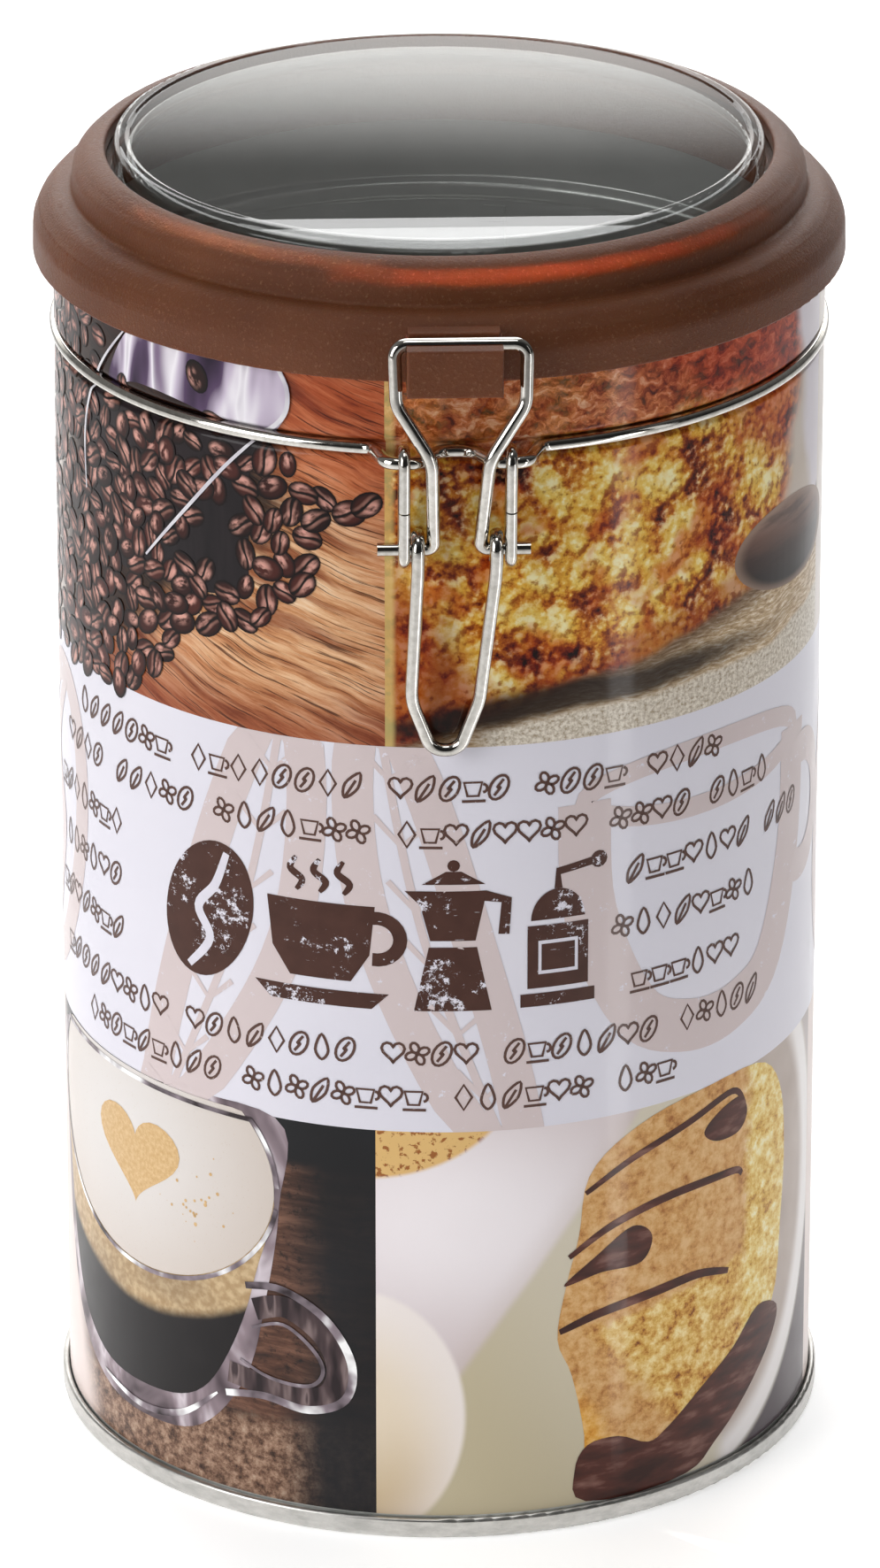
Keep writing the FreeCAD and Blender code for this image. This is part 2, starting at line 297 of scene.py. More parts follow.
def plated_wire():
    """Bright nickel plate with faint drawing marks and duller spots where parts rub."""
    paint = Paint("nickel plated wire", Metallic=1.0)
    place = object_place(paint)
    marks = paint.noise(place, 0.9, 5, 0.6)
    colour = paint.ramp(marks, (0.25, "b4b0a8"), (0.6, "cfccc6"))
    roughness = paint.span(marks, 0.35, 0.75, 0.06, 0.14)
    return paint.finish(colour, roughness, paint.bump(marks, 0.05, 0.00003))


def lid_plastic():
    """Brown moulded plastic with a spark-eroded grain, whose lighter specks are a painted sparkle; light
    shows through it where it is thin.
    """
    paint = Paint("brown plastic", Subsurface_Weight=0.2, Subsurface_Scale=0.003, Specular_IOR_Level=0.25)
    paint.shader.inputs["Subsurface Radius"].default_value = (1.0, 0.14, 0.03)
    place = object_place(paint)
    grain = paint.noise(place, 2.0, 4, 0.75)
    cloud = paint.noise(place, 0.05, 3)
    colour = paint.mix(paint.span(cloud, 0.3, 0.7), "5f3115", "6b3b1d")
    # lighter specks on the grain's peaks: painted sparkle highlights, standing in for the glint of the
    # grain's facets
    colour = paint.mix(paint.span(grain, 0.55, 0.68, 0, 0.42), colour, "9c7054")
    roughness = paint.span(grain, 0.3, 0.7, 0.34, 0.46)
    return paint.finish(colour, roughness, paint.bump(grain, 0.7, 0.0003))


def clear_plastic():
    """Clear polystyrene: it lets light through unbent, mirrors by angle, and has hairline scratches."""
    paint = Paint("clear plastic")
    tree = paint.tree
    place = object_place(paint)
    hairs = paint.streaks(place, 35, (0.06, 2.2, 1), 5, 0.7)
    roughness = paint.span(hairs, 0.55, 0.85, 0.0, 0.08)
    through = paint.add("BsdfTransparent", {"Color": (0.955, 0.965, 0.96, 1)})
    mirror = paint.add("BsdfGlossy", {"Color": (1, 1, 1, 1), "Roughness": roughness})
    index = paint.span(paint.add("NewGeometry", out="Backfacing"), 0, 1, 1.49, 1 / 1.49)
    skin = paint.add("MixShader", {0: paint.add("Fresnel", {"IOR": index}), 1: through, 2: mirror})
    tree.nodes.remove(paint.shader)
    tree.links.new(skin, tree.nodes["Material Output"].inputs["Surface"])
    return paint.material


def silicone():
    paint = Paint("silicone", Subsurface_Weight=0.2, Subsurface_Scale=0.002)
    place = object_place(paint)
    dust = paint.noise(place, 0.8, 4, 0.6)
    return paint.finish(paint.ramp(dust, (0.35, "cfccc4"), (0.7, "e2e0da")), 0.5,
                        paint.bump(dust, 0.1, 0.0001))


def compound():
    paint = Paint("sealing compound")
    place = object_place(paint)
    clots = paint.noise(place, 1.5, 3)
    return paint.finish(paint.ramp(clots, (0.3, "a89e84"), (0.7, "c2b99d")), 0.8,
                        paint.bump(clots, 0.4, 0.0001))


def dress_parts():
    plastic = lid_plastic()
    wires = ("collar_wire", "link_left", "link_right", "bail", "pull_handle")
    finishes = {
        "can_body": tinplate(),
        "can_bottom": seam_tinplate(),
        "seam_compound": compound(),
        "lid_ring": plastic,
        "lid_window": clear_plastic(),
        "window_retainer": plastic,
        "lid_gasket": silicone(),
        **dict.fromkeys(wires, plated_wire()),
    }
    for name, material in finishes.items():
        slots = NODES[name].material_slots
        for slot in slots:
            slot.material = material
        if not slots:
            NODES[name].data.materials.append(material)


# ---- drawing on the flat print ----

def smooth(points, closed=True, steps=6):
    """A rounded line through a few points (Catmull-Rom)."""
    count = len(points)
    result = []
    for i in range(count if closed else count - 1):
        if closed:
            a, b, c, d = (points[(i + k) % count] for k in (-1, 0, 1, 2))
        else:
            a, b, c, d = (points[min(max(i + k, 0), count - 1)] for k in (-1, 0, 1, 2))
        for step in range(steps):
            t = step / steps
            result.append(tuple(
                0.5 * (2 * b[k] + (c[k] - a[k]) * t + (2 * a[k] - 5 * b[k] + 4 * c[k] - d[k]) * t * t
                       + (3 * b[k] - a[k] - 3 * c[k] + d[k]) * t ** 3) for k in (0, 1)))
    return result if closed else result + [tuple(points[-1])]


def ribbon(points, width, closed=False, taper=0.0):
    """Outlines of the quads that make a line of some width, thinner at its ends if it tapers."""
    count = len(points)
    left = []
    right = []
    for i, point in enumerate(points):
        before = points[i - 1] if i > 0 or closed else point
        after = points[(i + 1) % count] if i < count - 1 or closed else point
        along = Vector((after[0] - before[0], after[1] - before[1])).normalized()
        place = i / max(count - 1, 1)
        half = width / 2 * (1 - taper * abs(2 * place - 1) ** 2)
        left.append((point[0] - along.y * half, point[1] + along.x * half))
        right.append((point[0] + along.y * half, point[1] - along.x * half))
    last = count if closed else count - 1
    return [[left[i], right[i], right[(i + 1) % count], left[(i + 1) % count]] for i in range(last)]


def ring_points(centre, radii, degrees=0.0, count=24, start=0.0, sweep=360.0):
    turn = math.radians(degrees)
    full = sweep >= 360
    result = []
    for i in range(count + (0 if full else 1)):
        angle = math.radians(start + sweep * i / count)
        x = radii[0] * math.cos(angle)
        y = radii[1] * math.sin(angle)
        result.append((centre[0] + x * math.cos(turn) - y * math.sin(turn),
                       centre[1] + x * math.sin(turn) + y * math.cos(turn)))
    return result


class Layer:
    """Shapes of one ink, collected flat and then wrapped round the can on both faces."""

    def __init__(self, name, material, level):
        self.name = name
        self.material = material
        self.level = level
        self.bm = bmesh.new()
        self.place = self.bm.verts.layers.float_vector.new("local")

    def shape(self, outline, frame_of=None, lift=0.0):
        """One filled outline. frame_of is (centre, half sizes, degrees, seed) of its local place."""
        verts = [self.bm.verts.new((x, y, lift)) for x, y in outline]
        if frame_of is None:
            xs = [p[0] for p in outline]
            ys = [p[1] for p in outline]
            centre = ((min(xs) + max(xs)) / 2, (min(ys) + max(ys)) / 2)
            frame_of = (centre, ((max(xs) - min(xs)) / 2, (max(ys) - min(ys)) / 2), 0.0, rng.random())
        centre, half, degrees, seed = frame_of
        turn = math.radians(degrees)
        for vert in verts:
            x = vert.co.x - centre[0]
            y = vert.co.y - centre[1]
            vert[self.place] = ((x * math.cos(turn) + y * math.sin(turn)) / max(half[0], 0.01),
                                (y * math.cos(turn) - x * math.sin(turn)) / max(half[1], 0.01), seed)
        return self.bm.faces.new(verts)

    def line(self, points, width, closed=False, taper=0.0):
        for quad in ribbon(points, width, closed, taper):
            self.shape(quad, (quad[0], (1, 1), 0.0, 0.5))

    def curve(self, points, width, taper=0.0):
        """An open rounded line."""
        self.line(smooth(points, False), width, taper=taper)

    def wrapped(self, faces=FACES):
        bm = self.bm
        bmesh.ops.triangulate(bm, faces=[f for f in bm.faces if len(f.verts) > 4])
        us = [v.co.x for v in bm.verts]
        vs = [v.co.y for v in bm.verts]
        columns = range(math.ceil(min(us) / COLUMN + 1e-6), int(max(us) / COLUMN) + 1)
        planes = [((COLUMN * k, 0, 0), (1, 0, 0)) for k in columns]
        planes += [((0, v, 0), (0, 1, 0)) for v in GROOVE if min(vs) < v < max(vs)]
        for point, normal in planes:
            everything = bm.verts[:] + bm.edges[:] + bm.faces[:]
            bmesh.ops.bisect_plane(bm, geom=everything, plane_co=point, plane_no=normal, dist=1e-5)
        bmesh.ops.remove_doubles(bm, verts=bm.verts, dist=1e-6)
        flat = bm.verts.layers.float_vector.new("flat")
        for vert in bm.verts:
            vert[flat] = (vert.co.x, vert.co.y, 0)
        bm.normal_update()
        for face in bm.faces:
            if face.normal.z < 0:
                face.normal_flip()
        for face_name, turn in faces.items():
            mesh = bpy.data.meshes.new(self.name)
            bm.to_mesh(mesh)
            for vert in mesh.vertices:
                u, v, lift = vert.co
                vert.co = wrap(u, v, self.level * LAYER + lift, turn)
            mesh.materials.append(self.material)
            mesh.polygons.foreach_set("use_smooth", [True] * len(mesh.polygons))
            piece = bpy.data.objects.new(f"{self.name}_{face_name}", mesh)
            bpy.context.scene.collection.objects.link(piece)
            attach(piece, "can")
        bm.free()


def stamped(name, material, level, outline, frame_of=None):
    """A layer that is one filled outline."""
    layer = Layer(name, material, level)
    layer.shape(outline, frame_of)
    layer.wrapped()


# ---- the pictures: their grounds ----

def wood_ink(ink, at):
    """Oiled table top: long bowed streaks, dark cracks and slow changes of colour."""
    bowed = ink.turned(ink.shaken(at, 0.028, 10), 22)
    streaks = ink.streaks(bowed, 0, (0.06, 0.62, 1), 8, 0.72)
    colour = ink.ramp(streaks, (0.33, "96552f"), (0.45, "cb8f60"), (0.56, "e6b98e"), (0.70, "f6dcbc"))
    cracks = ink.streaks(bowed, 0, (0.07, 2.6, 1), 4, 0.6)
    colour = ink.mix(ink.span(cracks, 0.55, 0.62, 0, 0.85), colour, "4a2412")
    broad = ink.noise(ink.turned(bowed, 0, (0.03, 0.3, 1), (3, 7, 0)), 1.0, 3)
    colour = ink.mix(ink.span(broad, 0.52, 0.66, 0, 0.7), colour, "9c5c38", "MULTIPLY")
    light = ink.oval(ink.shaken(at, 0.06, 12), (-24, 141), (21, 20), 0.8)
    shade = ink.math("SUBTRACT", 0.62, ink.times(light, 0.62))
    return ink.mix(shade, colour, "c8713f", "MULTIPLY")


def beans_ground():
    ink, at = printed("picture of a table with beans")
    colour = wood_ink(ink, at)
    colour = ink.shade(colour, ink.beyond(at, (-18, 160), 72, 5), 0.6, "f0a070")
    colour = ink.shade(colour, ink.beyond(at, (-20, 128), -90, 5), 0.7, "b06a4c")
    rough = ink.shaken(at, 0.25, 9)
    shadow = ink.times(ink.beyond(rough, (-30, 149), 128, 4), ink.beyond(rough, (-25, 165), 180, 4))
    colour = ink.cover(colour, shadow, 0.96, "120807")
    pale = ink.beyond(ink.shaken(at, 0.1, 14), (-74, 150), 180, 8)
    colour = ink.mix(pale, colour, "d8ccc4")
    return lacquered(ink, colour)


def crumb_height(ink, at):
    """How high the crumbs stand at a place: lumps, smaller bits and fine grain."""
    lumps = ink.cells(ink.shaken(at, 0.28, 4.0), 0.22, "SMOOTH_F1")
    bits = ink.cells(ink.shaken(at, 0.9, 1.6), 0.85, "SMOOTH_F1")
    fine = ink.noise(at, 1.5, 6, 0.7)
    height = ink.math("MULTIPLY_ADD", lumps, -0.80, 0.84)
    height = ink.math("MULTIPLY_ADD", bits, -0.42, height)
    return ink.math("MULTIPLY_ADD", fine, 0.36, height)


def crumb_ground():
    ink, at = printed("picture of crumbly cake")
    height = crumb_height(ink, at)
    relief = ink.math("SUBTRACT", height, crumb_height(ink, ink.vector("ADD", at, (-0.45, 0.75, 0))))
    colour = ink.ramp(height, (0.18, "240a04"), (0.28, "84300c"), (0.38, "c46f1c"), (0.49, "e4ac3c"),
                        (0.62, "f0cc64"), (0.80, "fdf2bc"))
    colour = ink.mix(ink.span(relief, 0.02, 0.22, 0, 0.5), colour, "fff2c4")
    colour = ink.mix(ink.span(relief, -0.02, -0.2, 0, 0.7), colour, "9a4c18", "MULTIPLY")
    patches = ink.noise(at, 0.085, 3, 0.6)
    colour = ink.mix(ink.span(patches, 0.50, 0.62, 0, 0.75), colour, "d9742a", "MULTIPLY")
    slanted = ink.shaken(at, 0.25, 5)
    crust = ink.beyond(slanted, (20, 167.5), 92, 2.5)
    flakes = ink.noise(ink.turned(ink.shaken(at, 0.4, 4), 0, (0.5, 0.9, 1)), 0.62, 6, 0.68)
    crust_ink = ink.ramp(flakes, (0.36, "35100a"), (0.46, "96401c"), (0.55, "d07845"), (0.68, "f4c8a2"))
    colour = ink.cover(colour, crust, 0.9, crust_ink)
    edge = ink.beyond(slanted, (2, 136), 215, 3.5)
    colour = ink.shade(colour, edge, 0.85, "b04a1c")
    lower = ink.beyond(slanted, (30, 138), -73, 2.5)
    colour = ink.shade(colour, lower, 0.7, "b8541c")
    rust = ink.beyond(slanted, (40, 168), 55, 5)
    colour = ink.shade(colour, rust, 0.8, "d4581a")
    blur = ink.beyond(ink.shaken(at, 0.1, 9), (60, 158), -14, 3.5)
    haze = ink.mix(ink.noise(at, 0.05, 2), "b9a288", "ddd3cc")
    colour = ink.mix(blur, colour, haze)
    corner = ink.beyond(ink.shaken(at, 0.08, 6), (63, 172), 12, 2)
    colour = ink.mix(corner, colour, "dcd4dc")
    colour = cloth_over(ink, at, colour)
    strip = ink.times(ink.beyond(at, (-8.2, 150), 180, 0.5), 0.5)
    return lacquered(ink, ink.mix(strip, colour, "f0dc8c"))


def cloth_over(ink, at, colour):
    """Folded cloth along the bottom right, under the cake, with a dark gap between its folds."""
    bent = ink.shaken(at, 0.045, 6)
    cloth = ink.beyond(bent, (36, 135.5), -75, 1.0)
    weave = ink.streaks(bent, 14, (0.5, 2.6, 1), 5, 0.65)
    linen = ink.ramp(weave, (0.32, "8c6c4a"), (0.5, "c8ac86"), (0.66, "f3e6d2"))
    crest = ink.beyond(bent, (36, 133), -75, 2.2)
    linen = ink.mix(ink.without(0.8, crest), linen, "6a4c30", "MULTIPLY")
    colour = ink.mix(cloth, colour, linen)
    gap = ink.oval(bent, (17, 128.6), (33, 2.3), 0.45, 5)
    colour = ink.cover(colour, gap, 0.93, "21120a")
    front = ink.times(ink.beyond(bent, (20, 126.2), -85, 0.5), ink.beyond(at, (4, 124), 0, 2))
    knots = ink.noise(at, 1.6, 4, 0.7)
    return ink.mix(front, colour, ink.ramp(knots, (0.35, "a5937a"), (0.6, "e9e0d2")))


def band_ground():
    """Pale, slightly uneven ink across the middle of the can."""
    ink, at = printed("pale band")
    wash = ink.noise(at, 0.03, 2)
    colour = ink.mix(wash, "dcdae6", "e9e6ee")
    return lacquered(ink, colour)


def cup_ground():
    ink, at = printed("picture of a dark table")
    dark = ink.mix(ink.span(ink.noise(at, 0.03, 2), 0.3, 0.7), "0f0e10", "1b1c20")
    planks = ink.streaks(ink.shaken(at, 0.12, 3), -5, (0.06, 0.45, 1), 7, 0.7)
    specks = ink.noise(at, 0.55, 7, 0.75)
    wood = ink.ramp(planks, (0.3, "1d110e"), (0.48, "5b3a2b"), (0.64, "8d6450"))
    wood = ink.mix(ink.span(specks, 0.5, 0.66, 0, 0.85), wood, "160d0b")
    near = ink.ramp(specks, (0.36, "24160f"), (0.47, "735543"), (0.58, "ab8a73"), (0.7, "cdb39c"))
    shade = ink.beyond(ink.shaken(at, 0.05, 8), (-22, 30), 0, 5)
    low = ink.beyond(ink.shaken(at, 0.12, 2), (-40, 14.5), -84, 2)
    back = ink.beyond(ink.shaken(at, 0.12, 2), (-20, 56.5), -92, 1.5)
    colour = ink.cover(dark, back, 0.9, wood)
    colour = ink.cover(colour, low, 0.85, near)
    colour = ink.cover(colour, shade, 0.97, dark)
    soft = ink.beyond(ink.shaken(at, 0.06, 6), (-68, 12), 196, 4)
    cream = ink.mix(ink.noise(at, 0.06, 3), "c9aea2", "f2e8e6")
    return lacquered(ink, ink.mix(soft, colour, cream))


def biscuit_ground():
    ink, at = printed("picture of a cup and a plate")
    table = ink.mix(ink.beyond(at, (14, 26), 30, 16), "c3b799", "d6cdba")
    cup = ink.beyond(ink.shaken(at, 0.03, 2), (10.5, 39), 145, 0.8)
    glaze = ink.mix(ink.oval(at, (2, 50), (22, 14), 0.8), "d6c8c9", "f6eff2")
    glaze = ink.cover(glaze, ink.beyond(at, (10.5, 39), -35, 5), 0.6, "bfae9c")
    colour = ink.mix(cup, table, glaze)
    foam = ink.oval(at, (-12, 70), (21, 13.5), 0.03, 8)
    specks = ink.noise(at, 0.9, 3, 0.6)
    latte = ink.mix(ink.span(specks, 0.54, 0.62), "e0b877", "9d5f2c")
    colour = ink.mix(foam, colour, latte)
    saucer = ink.oval(at, (-13, 19), (14.8, 19.5), 0.035)
    well = ink.oval(at, (-15, 14), (13, 17), 0.5)
    china = ink.mix(well, "f3eae6", ink.mix(ink.beyond(at, (-12, 10), -90, 12), "e9d9c2", "c4ab84"))
    colour = ink.mix(saucer, colour, china)
    plate = ink.oval(at, (33, 42), (41, 42), 0.02, -18)
    inner = ink.oval(at, (32, 42), (37, 38.5), 0.05, -18)
    ware = ink.mix(inner, "f4efee", ink.mix(ink.noise(at, 0.1, 2), "a8958a", "cfc2ba"))
    right = ink.beyond(at, (44, 30), 0, 2)
    colour = ink.mix(ink.times(plate, right), colour, ware)
    outside = ink.without(right, plate)
    dusk = ink.mix(ink.beyond(at, (66, 30), -70, 18), "b3a6a4", "4c4046")
    return lacquered(ink, ink.mix(outside, colour, dusk))


def print_grounds():
    upper = (BAND_TOP, PRINT_TOP)
    lower = (PRINT_LOW, BAND_LOW)
    grounds = (
        ("table_picture", beans_ground(), FACE_LEFT, PICTURE_EDGE_TOP, upper),
        ("cake_picture", crumb_ground(), PICTURE_EDGE_TOP, FACE_RIGHT, upper),
        ("pale_band_left", band_ground(), FACE_LEFT, SEAM_U, (BAND_LOW, BAND_TOP)),
        ("pale_band_right", band_ground(), SEAM_U, FACE_RIGHT, (BAND_LOW, BAND_TOP)),
        ("cup_picture", cup_ground(), FACE_LEFT, PICTURE_EDGE_LOW, lower),
        ("plate_picture", biscuit_ground(), PICTURE_EDGE_LOW, FACE_RIGHT, lower),
    )
    for name, material, left, right, (low, high) in grounds:
        for face_name, turn in FACES.items():
            start, end = left, right
            if face_name == "back":
                start = SEAM_U + SEAM_HALF if right == FACE_RIGHT else left
                end = SEAM_U - SEAM_HALF if left == FACE_LEFT else right
            layer = Layer(name, material, 1)
            layer.shape([(start, low), (end, low), (end, high), (start, high)])
            layer.wrapped({face_name: turn})


# ---- what lies on the grounds ----

def bean_ink():
    """A roasted bean: domed, oily on one side, most with a wavy crease, each its own shade of brown."""
    ink = printed("roasted bean")[0]
    local = ink.local()
    x, y, seed = ink.split(local)
    wave = ink.times(ink.math("SINE", ink.times(x, 2.6)), 0.16)
    off = ink.math("ABSOLUTE", ink.math("SUBTRACT", y, wave))
    turned_up = ink.math("GREATER_THAN", ink.math("FRACT", ink.times(seed, 7.0)), 0.35)
    crease = ink.times(ink.span(off, 0.05, 0.17, 1, 0), turned_up)
    lip = ink.times(ink.times(ink.span(off, 0.10, 0.24), ink.span(off, 0.5, 0.26)), turned_up)
    away = ink.from_middle(local)
    edge = ink.span(away, 0.55, 1.0)
    angle = ink.times(seed, 44.0)
    spot = ink.add("CombineXYZ", {0: ink.times(ink.math("COSINE", angle), 0.42),
                                    1: ink.times(ink.math("SINE", angle), 0.42), 2: seed})
    near = ink.vector("LENGTH", ink.vector("SUBTRACT", local, spot), out=1)
    sheen = ink.noise(ink.vector("MULTIPLY", local, (1.5, 2.0, 37)), 1.0, 4)
    glow = ink.times(ink.span(near, 0.85, 0.2), ink.span(sheen, 0.38, 0.6))
    tone = ink.mix(seed, "200907", "4c2019")
    colour = ink.cover(tone, glow, 0.95, "dca294")
    colour = ink.cover(colour, lip, 0.4, "b98576")
    colour = ink.mix(edge, colour, "0a0202")
    colour = ink.mix(crease, colour, "0e0403")
    return lacquered(ink, colour)


# lower edge of the bean pile, from left to right
PILE_EDGE = ((-90, 121), (-60, 121.5), (-51, 124), (-46.4, 129), (-40, 136.5), (-28, 139.5), (-23, 143.5),
             (-18.8, 148), (-17, 155), (-10, 157))


def pile_floor(u):
    """Lowest height of the bean pile at u."""
    for (u0, v0), (u1, v1) in zip(PILE_EDGE, PILE_EDGE[1:]):
        if u <= u1:
            return v0 + (v1 - v0) * (u - u0) / (u1 - u0)
    return PILE_EDGE[-1][1]


BEANS = 620
BEAN_TRIES = 40000
BEAN_GAP = 2.65          # least distance between the middles of two beans
BEAN_REACH = 5.0         # a bean lies on those within this distance
BEAN_LIFT = 0.0105       # and this much higher than the highest of them
MOST_RANKS = 16
PILE_TOP = 164.5         # above this height only a few beans lie against the scoop


def pile_of_beans():
    layer = Layer("beans", bean_ink(), 3)
    placed = []
    tries = 0
    high = 0
    while len(placed) < BEANS and tries < BEAN_TRIES:
        tries += 1
        u = rng.uniform(-82, -11)
        v = rng.uniform(122, 179)
        depth = v - pile_floor(u)
        right = -12 if 155 < v < 160 else -19 - max(0, v - 160)
        if depth < 0 or u > right or rng.random() > min(1.0, 0.25 + depth / 10):
            continue
        by_scoop = v > PILE_TOP and u > -63
        if by_scoop and (u > -34 or high > 7):
            continue
        if -46 < u < -31 and 145.5 < v < 165.5 + (u + 27) * 1.095:
            continue
        if any(math.hypot(p[0] - u, p[1] - v) < BEAN_GAP for p in placed):
            continue
        degrees = rng.uniform(0, 180)
        length = rng.uniform(1.9, 2.6)
        near = [p[2] for p in placed if math.hypot(p[0] - u, p[1] - v) < BEAN_REACH]
        rank = 1 + max(near, default=0)
        if rank > MOST_RANKS:
            continue
        high += by_scoop
        placed.append((u, v, rank))
        half = (length, length * rng.uniform(0.66, 0.78))
        outline = ring_points((u, v), half, degrees, 16)
        layer.shape(outline, ((u, v), half, degrees, rng.random()), lift=rank * BEAN_LIFT)
    layer.wrapped()


def scoop():
    """A metal scoop pushed into the beans: dark polished bowl, rolled bright edges."""
    ink, at = printed("scoop metal")
    bands = ink.streaks(at, -32, (0.13, 0.035, 1), 2, 0.4, 0.6)
    colour = ink.ramp(bands, (0.30, "24142c"), (0.44, "55405f"), (0.54, "c9bccf"), (0.60, "f4f0f6"),
                      (0.70, "7e6a86"))
    stamped("scoop_bowl", lacquered(ink, colour), 2, smooth([
        (-57, 168), (-53, 176), (-47, 179.5), (-34, 179.5), (-25, 178), (-23.2, 172), (-28, 167),
        (-40, 169.5), (-50, 170)]))
    ink, at = printed("scoop shade")
    deep = ink.noise(at, 0.2, 3)
    stamped("scoop_shade", lacquered(ink, ink.mix(deep, "0d090b", "2c2024")), 2, smooth([
        (-62.5, 165), (-64, 155), (-61, 146), (-54, 141.5), (-47, 144), (-38, 153), (-29, 163),
        (-29, 167), (-45, 168)]))
    ink, at = printed("scoop wall")
    glass = ink.mix(ink.streaks(at, 4, (0.5, 0.05, 1), 3), "050305", "2b2326")
    stamped("scoop_wall", lacquered(ink, glass), 3, [
        (-27.5, 167.5), (-48, 145.2), (-45, 143), (-38, 142), (-29.6, 143), (-29.4, 161)])
    rim, at = printed("scoop edge")
    glint = rim.noise(at, 0.25, 2)
    edge = Layer("scoop_edge", lacquered(rim, rim.mix(glint, "a99fb2", "ffffff")), 12)
    edge.curve([(-27, 168), (-33, 162), (-40, 154), (-48, 145)], 0.55, 0.4)
    edge.curve([(-63.5, 150), (-63.8, 158), (-62, 164.5), (-58, 171), (-52, 177.5)], 0.5, 0.5)
    edge.curve([(-25.5, 179), (-23.4, 175), (-23.8, 171), (-27, 168), (-31, 167)], 0.7, 0.3)
    edge.wrapped()


def big_bean():
    ink, at = printed("large bean")
    local = ink.local()
    y = ink.split(local)[1]
    dome = ink.span(y, -1.0, 0.9)
    streak = ink.streaks(at, 4, (0.06, 0.5, 1), 4, 0.6)
    colour = ink.ramp(dome, (0.0, "140b09"), (0.45, "3a2620"), (0.8, "6b4c40"), (1.0, "8d6e60"))
    colour = ink.mix(ink.span(streak, 0.45, 0.7, 0, 0.6), colour, "1d100d")
    away = ink.from_middle(local)
    colour = ink.mix(ink.span(away, 0.8, 1.02, 0, 0.7), colour, "a58a78")
    stamped("large_bean", lacquered(ink, colour), 2, ring_points((60.5, 142), (15.5, 6.6), -4, 48),
            ((60.5, 142), (15.5, 6.6), -4, 0.5))


def heart_points(centre, width, height):
    result = []
    for i in range(40):
        t = 2 * math.pi * i / 40
        x = 16 * math.sin(t) ** 3
        y = 13 * math.cos(t) - 5 * math.cos(2 * t) - 2 * math.cos(3 * t) - math.cos(4 * t)
        result.append((centre[0] + x / 32 * width, centre[1] + (y + 2.5) / 29 * height))
    return result


